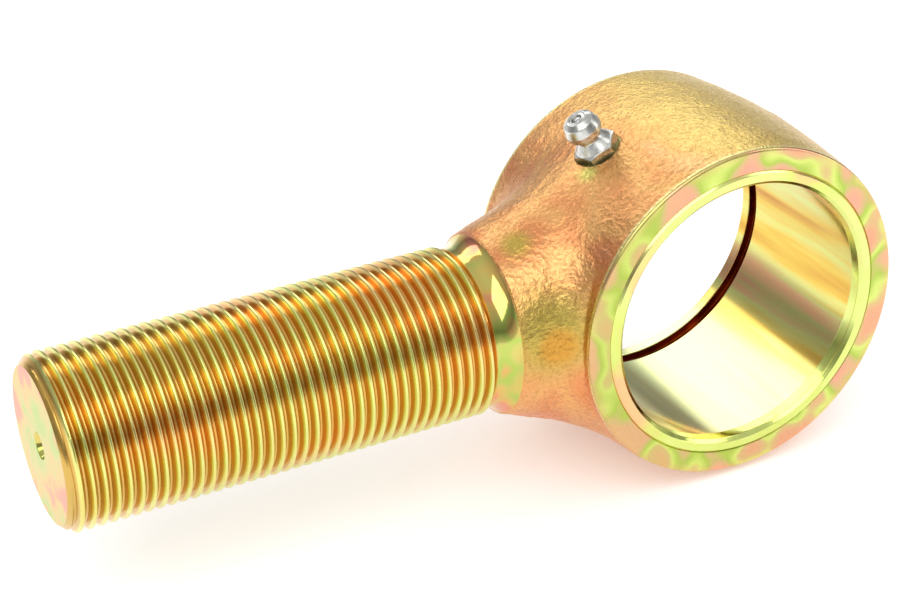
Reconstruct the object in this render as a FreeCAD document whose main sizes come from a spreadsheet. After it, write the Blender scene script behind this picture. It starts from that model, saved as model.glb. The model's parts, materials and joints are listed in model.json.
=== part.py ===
"""Rod end: a forged, plated eye on a threaded shank, with a stop ring and a grease nipple.

Frame: the origin is the centre of the eye's bore on its mid-plane. The shank points along -X,
the bore runs along Y (its open, circlip end faces +Y), and +Z is up, the grease nipple's side.
Every size is a cell of the sheet "sizes", in millimetres or degrees.
"""
import FreeCAD, Part
import Sketcher

import math
import os
import re

DOC = FreeCAD.newDocument("rod_end")
SHEET = DOC.addObject("Spreadsheet::Sheet", "sizes")

SIZES = {
    # eye
    "eye_width": (41.0, "between the machined end faces"),
    "eye_radius": (31.9, "outside of the eye at the forging's parting plane"),
    "eye_draft": (1.2, "how much smaller the outside is where it turns over to an end face"),
    "eye_corner": (0.7, "rounding between the outside and an end face"),
    "bore_radius": (26.0, "seat for the bearing insert"),
    "groove_depth": (1.5, "circlip groove, from the bore"),
    "groove_width": (2.4, "circlip groove"),
    "groove_land": (3.1, "from the circlip groove to the open end face"),
    "bore_lead": (1.0, "lead-in bevel at the open end of the bore"),
    # stop ring
    "ring_step": (0.7, "the ring's seat, from the bore outwards"),
    "ring_seat_depth": (2.5, "ring seat, below the end face"),
    "ring_lip": (1.8, "how far the ring stands inside the bore"),
    "ring_proud": (0.25, "how far the ring stands out of the end face"),
    "ring_inner_bevel": (0.65, "bevel round the ring's opening"),
    "ring_outer_bevel": (0.45, "bevel round the ring's outside"),
    # neck
    "neck_length": (8.6, "from the outside of the eye to the small end of the forged neck"),
    "neck_radius": (16.2, "small end of the neck"),
    "neck_root_sink": (0.67, "how far the top of the big end lies inside the eye's outside"),
    "neck_root_height": (26.2, "half height of the big end, along Z"),
    "neck_ledge": (2.1, "from the side of the big end to the eye's end face"),
    "neck_blend": (2.0, "fillet between neck and eye"),
    # shank
    "shank_reach": (120.0, "bore centre to the end of the shank"),
    "thread_radius": (15.0, "M30 major radius"),
    "thread_pitch": (2.0, "fine thread"),
    "thread_depth_share": (0.6, "crest to root, as a share of the pitch"),
    "thread_root_share": (0.16, "width of the root, as a share of the pitch"),
    "thread_clear_share": (0.06, "how far the cutter stands clear of the crests"),
    "thread_flank": (30.0, "half of the thread angle"),
    "thread_phase": (1.4, "turns of lead-in beyond the shank's end, so every length ends at the same angle"),
    "relief_depth": (0.7, "plain turned stretch behind the thread, below the crests"),
    "relief_length": (0.9, "from the last thread to where the relief turns up to the neck"),
    "relief_run": (3.4, "length of the turned fillet from the relief to the neck"),
    "end_bevel": (1.75, "bevel at the end of the shank"),
    "centre_mouth": (2.4, "radius of the centre drill's countersink"),
    "centre_pilot": (1.0, "radius of the centre drill's pilot hole"),
    "centre_depth": (5.5, "centre drill, from the end face"),
    # grease nipple seat, in the eye's wall
    "nipple_angle": (122.0, "nipple axis, from +X towards +Z"),
    "seat_sink": (0.5, "spot face, below the outside of the eye"),
    "spot_play": (0.25, "from the hexagon's corners to the edge of the spot face"),
    "stem_radius": (3.0, "M6 stem and its hole"),
    "stem_length": (4.0, "stem below the hexagon"),
    "stem_play": (0.02, "clearance of the stem in its hole"),
    "stem_bevel": (0.5, "bevel at the end of the stem"),
    "stem_gap": (0.3, "from the stem to the bottom of its hole"),
    "passage_radius": (1.0, "grease passage into the bore"),
    # grease nipple
    "hex_flats": (7.0, "across flats"),
    "hex_height": (2.5, "hexagon"),
    "hex_turn": (48.0, "where the hexagon stopped when the nipple was tightened"),
    "collar_radius": (3.3, "foot of the cone that rises from the hexagon to the waist"),
    "collar_height": (4.1, "top of that cone"),
    "shoulder_radius": (2.75, "where the head's rounded side turns in towards its top"),
    "shoulder_height": (8.1, "height of that turn"),
    "hex_tip": (0.7, "bevel cutter, beyond the corners"),
    "nipple_neck_radius": (2.15, "waist under the head"),
    "nipple_neck_top": (4.7, "top of the waist, above the seat"),
    "head_radius": (3.25, "coupler head"),
    "head_low": (5.6, "start of the head's widest band, above the seat"),
    "head_high": (6.6, "end of the head's widest band"),
    "nipple_height": (8.8, "top of the head, above the seat"),
    "head_top_radius": (1.75, "flat top of the head"),
    "mouth_radius": (0.95, "mouth that the ball closes"),
    "mouth_length": (0.5, "straight length of the mouth"),
    "chamber_radius": (1.5, "ball and spring chamber"),
    "chamber_bottom": (2.2, "floor of the chamber, above the seat"),
    "ball_radius": (1.25, "check ball"),
    "ball_gap": (0.03, "between the ball and its neighbours"),
    "spring_radius": (1.05, "spring, to the middle of its wire"),
    "wire_radius": (0.16, "spring wire"),
    "spring_turns": (6.0, "turns"),
}
DERIVED = {
    "eye_rim_radius": ("eye_radius - eye_draft", "outside of the eye beside an end face"),
    "groove_radius": ("bore_radius + groove_depth", "bottom of the circlip groove"),
    "ring_radius": ("bore_radius + ring_step", "outside of the stop ring and of its seat"),
    "ring_opening": ("bore_radius - ring_lip", "clear radius through the stop ring"),
    "neck_reach": ("eye_radius + neck_length", "bore centre to the neck's small end"),
    "neck_root_width": ("eye_width / 2 - neck_ledge", "half width of the big end, along Y"),
    "neck_root_reach": ("sqrt((eye_radius - neck_root_sink) ^ 2 - neck_root_height ^ 2)",
                        "bore centre to the neck's big end, inside the eye"),
    "relief_radius": ("thread_radius - relief_depth", "plain stretch behind the thread"),
    "relief_reach": ("neck_reach + relief_run", "bore centre to the start of the fillet"),
    "thread_end_reach": ("relief_reach + relief_length", "bore centre to the last thread"),
    "thread_run": ("(ceil((shank_reach - thread_end_reach) / thread_pitch) + thread_phase) * thread_pitch",
                   "length of the thread's cut, in whole turns and the lead-in"),
    "seat_reach": ("eye_radius - seat_sink", "bore centre to the spot face"),
    "hex_corner": ("hex_flats / sqrt(3)", "nipple's hexagon, across corners, halved"),
    "spot_radius": ("hex_corner + spot_play", "spot face"),
}


def add_row(row, alias, content, note):
    """One line of the sheet: what it is, its content, and its name."""
    SHEET.set(f"A{row}", note)
    SHEET.set(f"B{row}", content)
    SHEET.setAlias(f"B{row}", alias)


for row, (alias, (value, note)) in enumerate(SIZES.items(), 1):
    add_row(row, alias, repr(value), note)
DOC.recompute()
for row, (alias, (formula, note)) in enumerate(DERIVED.items(), len(SIZES) + 1):
    add_row(row, alias, "=" + formula, note)
    DOC.recompute()


NAMES = {**SIZES, **DERIVED}


def size(alias):
    """A driving size, read from the sheet."""
    return float(SHEET.get(alias))


def bound(text):
    """An expression over the sheet's names, ready for setExpression."""
    return re.sub(r"[a-z_]+", lambda word: "sizes." + word[0] if word[0] in NAMES else word[0],
                  text)


def plane(body, role):
    """One of a body's own origin planes."""
    return next(p for p in body.Origin.OriginFeatures if p.Role == role)


def new_body(label):
    """A named, empty PartDesign body."""
    body = DOC.addObject("PartDesign::Body", label)
    body.Label = label
    return body


def sketch_on(body, name, role, offset=None, turn=None):
    """A sketch on an origin plane, moved along or turned about the plane's normal."""
    sketch = body.newObject("Sketcher::SketchObject", name)
    sketch.AttachmentSupport = [(plane(body, role), "")]
    sketch.MapMode = "FlatFace"
    if offset:
        sketch.setExpression("AttachmentOffset.Base.z", bound(offset))
    if turn:
        sketch.AttachmentOffset = FreeCAD.Placement(
            FreeCAD.Vector(), FreeCAD.Rotation(FreeCAD.Vector(0, 0, 1), 1.0))
        sketch.setExpression("AttachmentOffset.Rotation.Angle", bound(turn))
    return sketch


def value_of(text):
    """The number that an expression over the sheet's names gives now."""
    result = SHEET.evalExpression(text)
    return float(getattr(result, "Value", result))


def edge_ends(sketch, number, start):
    """Which end of a sketch edge lies at the outline's corner, and which is the far one."""
    return (1, 2) if (sketch.getPoint(number, 1) - start).Length < 1e-6 else (2, 1)


def outline(sketch, corners, arcs=None):
    """A closed outline through corners, each an (x, y) pair of expressions.

    arcs maps the number of an edge to (radius expression, side): side is +1 when the arc bulges
    to the left of its direction of travel and -1 when it bulges to the right.
    """
    arcs = arcs or {}
    points = [FreeCAD.Vector(value_of(x), value_of(y), 0) for x, y in corners]
    for number, start in enumerate(points):
        end = points[(number + 1) % len(points)]
        if number in arcs:
            radius, side = value_of(arcs[number][0]), arcs[number][1]
            chord = end - start
            across = FreeCAD.Vector(-chord.y, chord.x, 0).normalize() * side
            rise = radius - math.sqrt(radius ** 2 - (chord.Length / 2) ** 2)
            middle = (start + end) / 2 + across * rise
            sketch.addGeometry(Part.Arc(start, middle, end), False)
        else:
            sketch.addGeometry(Part.LineSegment(start, end), False)
    for number, (x, y) in enumerate(corners):
        before = (number - 1) % len(corners)
        near = edge_ends(sketch, number, points[number])[0]
        far = edge_ends(sketch, before, points[before])[1]
        sketch.addConstraint(Sketcher.Constraint("Coincident", before, far, number, near))
        for kind, text in (("DistanceX", x), ("DistanceY", y)):
            index = sketch.addConstraint(Sketcher.Constraint(
                kind, -1, 1, number, near, value_of(text)))
            sketch.setExpression(f"Constraints[{index}]", bound(text))
        if number in arcs:
            index = sketch.addConstraint(Sketcher.Constraint(
                "Radius", number, value_of(arcs[number][0])))
            sketch.setExpression(f"Constraints[{index}]", bound(arcs[number][0]))
    return sketch


def revolve(body, sketch, axis, cut=False):
    """A full turn of a sketch about one of its own axes, added to the body or cut from it."""
    kind = "PartDesign::Groove" if cut else "PartDesign::Revolution"
    before = body.Shape.Volume if body.Tip else 0.0
    feature = body.newObject(kind, sketch.Name + "_turned")
    feature.Profile = sketch
    feature.ReferenceAxis = (sketch, [axis])
    feature.Angle = 360.0
    sketch.Visibility = False
    DOC.recompute()
    if (body.Shape.Volume < before) != cut:
        raise RuntimeError(f"{feature.Name} changed the volume the wrong way")
    return feature


def oval(sketch, half_width, half_height):
    """An ellipse, or a circle, round a sketch's origin: half width along x, half height along y."""
    wide, tall = value_of(half_width), value_of(half_height)
    if wide == tall:
        sketch.addGeometry(Part.Circle(FreeCAD.Vector(), FreeCAD.Vector(0, 0, 1), wide), False)
        sketch.addConstraint(Sketcher.Constraint("Coincident", 0, 3, -1, 1))
        index = sketch.addConstraint(Sketcher.Constraint("Radius", 0, wide))
        sketch.setExpression(f"Constraints[{index}]", bound(half_width))
        return sketch
    sketch.addGeometry(Part.Ellipse(FreeCAD.Vector(0, tall, 0), FreeCAD.Vector(wide, 0, 0),
                                    FreeCAD.Vector()), False)
    sketch.exposeInternalGeometry(0)
    sketch.addConstraint(Sketcher.Constraint("Coincident", 0, 3, -1, 1))
    sketch.addConstraint(Sketcher.Constraint("Vertical", 1))
    for line, length in ((1, half_height), (2, half_width)):
        index = sketch.addConstraint(Sketcher.Constraint("Distance", line, 2 * value_of(length)))
        sketch.setExpression(f"Constraints[{index}]", bound(f"2 * ({length})"))
    return sketch


def eye_and_neck(body):
    """The forged blank: a crowned eye and an oval, tapering neck, blended together."""
    rim = "(eye_width / 2 - eye_corner)"
    face_radius = "eye_rim_radius - eye_corner"
    rise = "(eye_radius - eye_rim_radius)"
    eye = outline(sketch_on(body, "eye_outline", "XY_Plane"), [
        ("0", "-eye_width / 2"),
        (face_radius, "-eye_width / 2"),
        ("eye_rim_radius", f"-{rim}"),
        ("eye_rim_radius", rim),
        (face_radius, "eye_width / 2"),
        ("0", "eye_width / 2"),
    ], arcs={
        1: ("eye_corner", -1),
        2: (f"({rim} ^ 2 + {rise} ^ 2) / (2 * {rise})", -1),
        3: ("eye_corner", -1),
    })
    revolve(body, eye, "V_Axis")

    small = oval(sketch_on(body, "neck_small_end", "YZ_Plane", "-neck_reach"),
                 "neck_radius", "neck_radius")
    big = oval(sketch_on(body, "neck_big_end", "YZ_Plane", "-neck_root_reach"),
               "neck_root_width", "neck_root_height")
    neck = body.newObject("PartDesign::AdditiveLoft", "neck")
    neck.Profile = small
    neck.Sections = [big]
    small.Visibility = big.Visibility = False
    DOC.recompute()

    seam = [f"Edge{number}" for number, edge in enumerate(neck.Shape.Edges, 1)
            if is_seam(edge)]
    blend = body.newObject("PartDesign::Fillet", "neck_blend")
    blend.Base = (neck, seam)
    blend.setExpression("Radius", "sizes.neck_blend")
    DOC.recompute()


def is_seam(edge):
    """True for the edges where the neck runs into the outside of the eye."""
    middle = edge.valueAt((edge.FirstParameter + edge.LastParameter) / 2)
    inside_width = abs(middle.y) < size("eye_width") / 2 - size("eye_corner")
    reach = math.hypot(middle.x, middle.z)
    on_eye = size("eye_rim_radius") - 0.01 < reach < size("eye_radius") + 0.01
    return inside_width and on_eye and middle.x < 0 and edge.Length > size("neck_blend")


def shank(body):
    """The turned shank: bevelled end, thread blank, relief, and the fillet up to the neck."""
    run = "(relief_reach - neck_reach)"
    climb = "(neck_radius - relief_radius)"
    turned = outline(sketch_on(body, "shank_outline", "XY_Plane"), [
        ("-shank_reach", "0"),
        ("-shank_reach", "thread_radius - end_bevel"),
        ("-(shank_reach - end_bevel)", "thread_radius"),
        ("-thread_end_reach", "thread_radius"),
        ("-thread_end_reach + thread_radius - relief_radius", "relief_radius"),
        ("-relief_reach", "relief_radius"),
        ("-neck_reach", "neck_radius"),
        ("-neck_reach", "0"),
    ], arcs={5: (f"({run} ^ 2 + {climb} ^ 2) / (2 * {climb})", -1)})
    revolve(body, turned, "H_Axis")

    centre = outline(sketch_on(body, "centre_outline", "XY_Plane"), [
        ("-shank_reach", "0"),
        ("-shank_reach", "centre_mouth"),
        ("-shank_reach + (centre_mouth - centre_pilot) / tan(thread_flank)", "centre_pilot"),
        ("-shank_reach + centre_depth", "centre_pilot"),
        ("-shank_reach + centre_depth", "0"),
    ])
    revolve(body, centre, "H_Axis", cut=True)


def bore(body):
    """Everything turned inside the eye: ring seat, bore, circlip groove and lead-in."""
    seat_floor = "-eye_width / 2 + ring_seat_depth"
    groove_outer = "eye_width / 2 - groove_land"
    groove_inner = "eye_width / 2 - groove_land - groove_width"
    cut = outline(sketch_on(body, "bore_outline", "XY_Plane"), [
        ("0", "-eye_width / 2"),
        ("ring_radius", "-eye_width / 2"),
        ("ring_radius", seat_floor),
        ("bore_radius", seat_floor),
        ("bore_radius", groove_inner),
        ("groove_radius", groove_inner),
        ("groove_radius", groove_outer),
        ("bore_radius", groove_outer),
        ("bore_radius", "eye_width / 2 - bore_lead"),
        ("bore_radius + bore_lead", "eye_width / 2"),
        ("0", "eye_width / 2"),
    ])
    revolve(body, cut, "V_Axis", cut=True)


def nipple_seat(body):
    """Spot face, stem hole and grease passage, drilled square to the nipple's axis."""
    stem_floor = "seat_reach - stem_length - stem_gap"
    cut = outline(sketch_on(body, "nipple_hole", "XZ_Plane", turn="nipple_angle - 90"), [
        ("0", "bore_radius - 2 * passage_radius"),
        ("passage_radius", "bore_radius - 2 * passage_radius"),
        ("passage_radius", stem_floor),
        ("stem_radius", stem_floor),
        ("stem_radius", "seat_reach"),
        ("spot_radius", "seat_reach"),
        ("spot_radius", "seat_reach + nipple_height"),
        ("0", "seat_reach + nipple_height"),
    ])
    revolve(body, cut, "V_Axis", cut=True)


def thread(body):
    """The helical groove, cut from beyond the shank's end to the relief.

    The cut only comes out clean from some lead-in angles, so the first one that
    takes away as much steel as the groove's section says is kept.
    """
    half_root = "thread_root_share * thread_pitch / 2"
    depth = "thread_depth_share * thread_pitch"
    over = "thread_clear_share * thread_pitch"
    half_mouth = f"({half_root} + ({depth} + {over}) * tan(thread_flank))"
    start = "-(thread_end_reach + thread_run)"
    tooth = outline(sketch_on(body, "thread_tooth", "XY_Plane"), [
        (f"{start} - {half_root}", f"thread_radius - {depth}"),
        (f"{start} + {half_root}", f"thread_radius - {depth}"),
        (f"{start} + {half_mouth}", f"thread_radius + {over}"),
        (f"{start} - {half_mouth}", f"thread_radius + {over}"),
    ])
    blank = body.Shape.Volume
    groove = body.newObject("PartDesign::SubtractiveHelix", "thread")
    groove.Profile = tooth
    groove.ReferenceAxis = (tooth, ["H_Axis"])
    groove.Mode = "pitch-height-angle"
    groove.setExpression("Pitch", "sizes.thread_pitch")
    groove.setExpression("Height", "sizes.thread_run")
    groove.Reversed = False
    tooth.Visibility = False
    section = size("thread_depth_share") * (size("thread_root_share") + size("thread_depth_share")
                                            * math.tan(math.radians(size("thread_flank"))))
    middle = size("thread_radius") - 0.39 * size("thread_depth_share") * size("thread_pitch")
    turned = size("shank_reach") - size("thread_end_reach") - size("end_bevel") / 3
    wanted = section * size("thread_pitch") * math.tau * middle * turned
    for lead in (1.4, 1.1, 1.25, 1.6, 1.85, 1.5, 1.95):
        SHEET.set(SHEET.getCellFromAlias("thread_phase"), str(lead))
        DOC.recompute()
        removed = blank - body.Shape.Volume
        if abs(removed / wanted - 1) < 0.03:
            return
    raise RuntimeError("no lead-in angle gave a clean thread")


def forged_rod_end():
    """Eye, neck and shank, one piece of steel."""
    body = new_body("forged_rod_end")
    eye_and_neck(body)
    shank(body)
    bore(body)
    nipple_seat(body)
    thread(body)
    return body


def bore_stop_ring():
    """The ring pressed into the near end of the bore."""
    body = new_body("bore_stop_ring")
    top = "-(eye_width / 2 + ring_proud)"
    back = "-(eye_width / 2 - ring_seat_depth)"
    section = outline(sketch_on(body, "ring_section", "XY_Plane"), [
        ("ring_opening", back),
        ("ring_radius", back),
        ("ring_radius", f"{top} + ring_outer_bevel"),
        ("ring_radius - ring_outer_bevel", top),
        ("ring_opening + ring_inner_bevel", top),
        ("ring_opening", f"{top} + ring_inner_bevel"),
    ])
    revolve(body, section, "V_Axis")
    return body


def stand_on_seat(piece, height):
    """Places a piece made along +Z on the nipple's axis, that far above the spot face."""
    along = f"(seat_reach + {height})"
    piece.Placement = FreeCAD.Placement(
        FreeCAD.Vector(), FreeCAD.Rotation(FreeCAD.Vector(0, -1, 0), 1.0))
    piece.setExpression("Placement.Base.x", bound(f"{along} * cos(nipple_angle)"))
    piece.setExpression("Placement.Base.z", bound(f"{along} * sin(nipple_angle)"))
    piece.setExpression("Placement.Rotation.Angle", bound("nipple_angle - 90"))


def ball_height():
    """Height of the closed ball's centre: it rests under the rim of the mouth, just clear."""
    return ("(nipple_height - mouth_length"
            " - sqrt((ball_radius + ball_gap) ^ 2 - mouth_radius ^ 2))")


def grease_nipple_body():
    """Stem, hexagon, waist and coupler head, hollow inside."""
    body = new_body("grease_nipple_body")
    hexagon = body.newObject("PartDesign::AdditivePrism", "hexagon")
    hexagon.Polygon = 6
    hexagon.setExpression("Circumradius", "sizes.hex_corner")
    hexagon.setExpression("Height", "sizes.hex_height")
    hexagon.Placement = FreeCAD.Placement(
        FreeCAD.Vector(), FreeCAD.Rotation(FreeCAD.Vector(0, 0, 1), 1.0))
    hexagon.setExpression("Placement.Rotation.Angle", "sizes.hex_turn")
    DOC.recompute()

    tip = "(hex_corner + hex_tip)"
    bevel = outline(sketch_on(body, "hexagon_bevel", "XZ_Plane"), [
        ("hex_flats / 2", "hex_height"),
        (tip, "hex_height"),
        (tip, f"hex_height - ({tip} - hex_flats / 2) * tan(thread_flank)"),
    ])
    revolve(body, bevel, "V_Axis", cut=True)

    outside = outline(sketch_on(body, "nipple_outline", "XZ_Plane"), [
        ("0", "-stem_length"),
        ("stem_radius - stem_play - stem_bevel", "-stem_length"),
        ("stem_radius - stem_play", "-stem_length + stem_bevel"),
        ("stem_radius - stem_play", "hex_height"),
        ("collar_radius", "hex_height"),
        ("nipple_neck_radius", "collar_height"),
        ("nipple_neck_radius", "nipple_neck_top"),
        ("head_radius", "head_low"),
        ("head_radius", "head_high"),
        ("shoulder_radius", "shoulder_height"),
        ("head_top_radius", "nipple_height"),
        ("0", "nipple_height"),
    ])
    revolve(body, outside, "V_Axis")

    inside = outline(sketch_on(body, "nipple_bore", "XZ_Plane"), [
        ("0", "-stem_length"),
        ("passage_radius", "-stem_length"),
        ("passage_radius", "chamber_bottom"),
        ("chamber_radius", "chamber_bottom"),
        ("chamber_radius", f"{ball_height()} + (chamber_radius - mouth_radius) / 2"),
        ("mouth_radius", "nipple_height - mouth_length"),
        ("mouth_radius", "nipple_height"),
        ("0", "nipple_height"),
    ])
    revolve(body, inside, "V_Axis", cut=True)
    stand_on_seat(body, "0")
    return body


def nipple_check_ball():
    """The ball under the mouth."""
    ball = DOC.addObject("Part::Sphere", "nipple_check_ball")
    ball.Label = "nipple_check_ball"
    ball.setExpression("Radius", "sizes.ball_radius")
    stand_on_seat(ball, ball_height())
    return ball


def nipple_ball_spring():
    """The coil spring between the chamber's floor and the ball."""
    body = new_body("nipple_ball_spring")
    base = "chamber_bottom + ball_gap + wire_radius"
    contact = "sqrt((ball_radius + ball_gap + wire_radius) ^ 2 - spring_radius ^ 2)"
    wire = sketch_on(body, "wire_section", "XZ_Plane")
    wire.addGeometry(Part.Circle(FreeCAD.Vector(size("spring_radius"), value_of(base), 0),
                                 FreeCAD.Vector(0, 0, 1), size("wire_radius")), False)
    for kind, text in (("DistanceX", "spring_radius"), ("DistanceY", base)):
        index = wire.addConstraint(Sketcher.Constraint(kind, -1, 1, 0, 3, value_of(text)))
        wire.setExpression(f"Constraints[{index}]", bound(text))
    index = wire.addConstraint(Sketcher.Constraint("Radius", 0, size("wire_radius")))
    wire.setExpression(f"Constraints[{index}]", "sizes.wire_radius")
    coil = body.newObject("PartDesign::AdditiveHelix", "coil")
    coil.Profile = wire
    coil.ReferenceAxis = (wire, ["V_Axis"])
    coil.Mode = "height-turns-angle"
    coil.setExpression("Height", bound(f"{ball_height()} - {contact} - ({base})"))
    coil.setExpression("Turns", "sizes.spring_turns")
    DOC.recompute()
    stand_on_seat(body, "0")
    return body


def check(pieces):
    """Stops at a failed object or a bad shape."""
    for thing in DOC.Objects:
        if "Invalid" in thing.State or "Error" in thing.State:
            raise RuntimeError(f"{thing.Name} failed: {thing.State}")
    for piece in pieces:
        if piece.Shape.isNull() or not piece.Shape.isValid() or len(piece.Shape.Solids) != 1:
            raise RuntimeError(f"{piece.Label} isn't one valid solid")


PIECES = [forged_rod_end(), bore_stop_ring(), grease_nipple_body(), nipple_check_ball(),
          nipple_ball_spring()]
DOC.recompute()
check(PIECES)
os.makedirs("parts", exist_ok=True)
for PIECE in PIECES:
    PIECE.Shape.exportStep(f"parts/{PIECE.Label}.step")
    print(PIECE.Label, round(PIECE.Shape.Volume, 1), PIECE.Shape.BoundBox)
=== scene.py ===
"""A plated rod end on a pale floor: forged eye and neck, threaded shank, stop ring, grease nipple.

Metres, in the part's own frame: the origin is the centre of the eye's bore, the shank points
along -X, the bore runs along Y and +Z is up.
"""
import json
import math

import bmesh
import bpy
import numpy as np
from mathutils import Matrix, Vector, noise


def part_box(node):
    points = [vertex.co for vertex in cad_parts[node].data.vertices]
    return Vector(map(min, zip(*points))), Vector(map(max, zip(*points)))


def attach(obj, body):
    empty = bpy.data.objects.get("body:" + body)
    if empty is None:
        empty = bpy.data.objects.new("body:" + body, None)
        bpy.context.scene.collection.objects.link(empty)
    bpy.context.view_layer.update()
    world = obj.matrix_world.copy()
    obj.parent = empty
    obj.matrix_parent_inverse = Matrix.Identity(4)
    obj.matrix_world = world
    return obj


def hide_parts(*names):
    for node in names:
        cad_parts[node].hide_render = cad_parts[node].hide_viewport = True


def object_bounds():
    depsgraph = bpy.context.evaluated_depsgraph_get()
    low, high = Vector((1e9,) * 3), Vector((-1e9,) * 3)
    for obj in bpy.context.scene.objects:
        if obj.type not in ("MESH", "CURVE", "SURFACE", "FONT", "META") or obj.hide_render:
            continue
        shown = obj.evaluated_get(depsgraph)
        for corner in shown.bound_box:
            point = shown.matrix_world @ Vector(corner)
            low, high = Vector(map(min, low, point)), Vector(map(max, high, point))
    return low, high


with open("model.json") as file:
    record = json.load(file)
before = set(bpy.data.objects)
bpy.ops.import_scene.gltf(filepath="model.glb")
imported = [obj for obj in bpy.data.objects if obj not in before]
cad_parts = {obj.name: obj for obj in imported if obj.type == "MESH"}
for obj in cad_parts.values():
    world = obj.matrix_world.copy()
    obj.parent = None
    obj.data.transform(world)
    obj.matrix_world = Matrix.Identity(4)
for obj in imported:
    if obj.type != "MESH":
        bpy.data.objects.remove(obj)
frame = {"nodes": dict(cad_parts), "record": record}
cad_box = [list(corner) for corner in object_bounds()]
scene = bpy.context.scene
MM = 0.001


# --- Studio -------------------------------------------------------------------------------
# A pale matt floor under the eye, a soft light sky, one large key light on the shank's side
# and two weaker ones that draw long highlights on the turned faces.

def link(thing):
    scene.collection.objects.link(thing)
    return thing


def add_node(tree, kind, inputs=None, **settings):
    """A shader node; inputs are values, or sockets to link from."""
    made = tree.nodes.new(kind)
    for name, value in settings.items():
        setattr(made, name, value)
    for name, value in (inputs or {}).items():
        if isinstance(value, bpy.types.NodeSocket):
            tree.links.new(value, made.inputs[name])
        else:
            made.inputs[name].default_value = value
    return made


def new_material(name, **shader_values):
    """A material with a Principled shader; shader_values set its plain sockets."""
    material = bpy.data.materials.new(name)
    material.use_nodes = True
    shader = material.node_tree.nodes["Principled BSDF"]
    for socket, value in shader_values.items():
        shader.inputs[socket.replace("_", " ")].default_value = value
    return material, material.node_tree, shader


def tint(red, green, blue):
    """Linear colour from 0-255 display values."""
    values = [v / 255 for v in (red, green, blue)]
    return tuple(v / 12.92 if v <= 0.04045 else ((v + 0.055) / 1.055) ** 2.4 for v in values) + (1.0,)


def area_light(name, place, target, width, height, power):
    lamp = bpy.data.lights.new(name, "AREA")
    lamp.shape = "RECTANGLE"
    lamp.size, lamp.size_y = width, height
    lamp.energy = power
    made = link(bpy.data.objects.new(name, lamp))
    made.location = place
    made.rotation_euler = (Vector(target) - Vector(place)).to_track_quat("-Z", "Y").to_euler()
    return made


FLOOR_HALF = 3.0
floor_mesh = bpy.data.meshes.new("floor")
floor_height = cad_box[0][2]
floor_mesh.from_pydata([(x * FLOOR_HALF, y * FLOOR_HALF, floor_height)
                        for x, y in ((-1, -1), (1, -1), (1, 1), (-1, 1))], [], [(0, 1, 2, 3)])
floor = link(bpy.data.objects.new("floor", floor_mesh))
paper, paper_tree, paper_shader = new_material("floor_paper", Roughness=0.9, Emission_Strength=0.3)
paper_shader.inputs["Emission Color"].default_value = (1, 1, 1, 1)
paper_grain = add_node(paper_tree, "ShaderNodeTexNoise", {"Scale": 40.0, "Detail": 2.0})
paper_tone = add_node(paper_tree, "ShaderNodeValToRGB", {"Fac": paper_grain.outputs["Fac"]})
paper_tone.color_ramp.elements[0].color = (0.93, 0.93, 0.93, 1)
paper_tone.color_ramp.elements[1].color = (0.96, 0.96, 0.96, 1)
paper_tree.links.new(paper_tone.outputs["Color"], paper_shader.inputs["Base Color"])
floor_mesh.materials.append(paper)

world = bpy.data.worlds.new("studio")
world.use_nodes = True
scene.world = world
sky = world.node_tree
sky_place = add_node(sky, "ShaderNodeTexCoord")
sky_axes = add_node(sky, "ShaderNodeSeparateXYZ", {"Vector": sky_place.outputs["Generated"]})
sky_tone = add_node(sky, "ShaderNodeValToRGB", {"Fac": sky_axes.outputs["Z"]})
for stop, (height, tone) in enumerate(((0.0, 0.95), (0.22, 0.30), (0.5, 0.62), (1.0, 1.0))):
    ramp = sky_tone.color_ramp.elements
    spot = ramp[stop] if stop < 1 else (ramp.new(height) if stop < 3 else ramp[-1])
    spot.position, spot.color = height, (tone, tone, tone, 1)
sky.links.new(sky_tone.outputs["Color"], sky.nodes["Background"].inputs["Color"])
sky.nodes["Background"].inputs["Strength"].default_value = 0.8

area_light("key", (-0.45, -0.55, 0.85), (-0.03, 0, 0), 1.3, 0.8, 6.0)
area_light("side", (0.80, -0.40, 0.45), (0, 0, 0), 0.3, 1.0, 1.8)
area_light("back", (0.05, 0.80, 0.70), (0, 0, 0), 1.4, 0.4, 3.0)

# The camera: a long lens, above and to the left of the eye's near face.
CAMERA_AZIMUTH, CAMERA_ELEVATION, CAMERA_ROLL = (math.radians(a) for a in (-25.666, 28.014, -2.445))
CAMERA_DISTANCE = 0.40565
CAMERA_ASIDE, CAMERA_UP = -0.041755, -0.003969
CAMERA_LENS, CAMERA_SENSOR = 90.28, 36.0
camera_back = Vector((math.sin(CAMERA_AZIMUTH) * math.cos(CAMERA_ELEVATION),
                      -math.cos(CAMERA_AZIMUTH) * math.cos(CAMERA_ELEVATION),
                      math.sin(CAMERA_ELEVATION)))
level_right = Vector((0, 0, 1)).cross(camera_back).normalized()
level_up = camera_back.cross(level_right)
camera_right = level_right * math.cos(CAMERA_ROLL) + level_up * math.sin(CAMERA_ROLL)
camera_up = level_up * math.cos(CAMERA_ROLL) - level_right * math.sin(CAMERA_ROLL)
lens = bpy.data.cameras.new("camera")
lens.lens, lens.sensor_width, lens.sensor_fit = CAMERA_LENS, CAMERA_SENSOR, "HORIZONTAL"
camera = link(bpy.data.objects.new("camera", lens))
camera.matrix_world = Matrix.Translation(
    camera_back * CAMERA_DISTANCE + level_right * CAMERA_ASIDE + level_up * CAMERA_UP
) @ Matrix((camera_right, camera_up, camera_back)).transposed().to_4x4()
scene.camera = camera
scene.view_settings.view_transform = "Standard"


# --- Forged rod end -----------------------------------------------------------------------
# One closed-die steel forging: a crowned eye and an oval neck, left as forged outside, with
# the end faces, bore, circlip groove and shank turned and the thread cut. It is zinc plated
# and yellow chromated, so its colour drifts between gold, green and pink.

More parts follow.
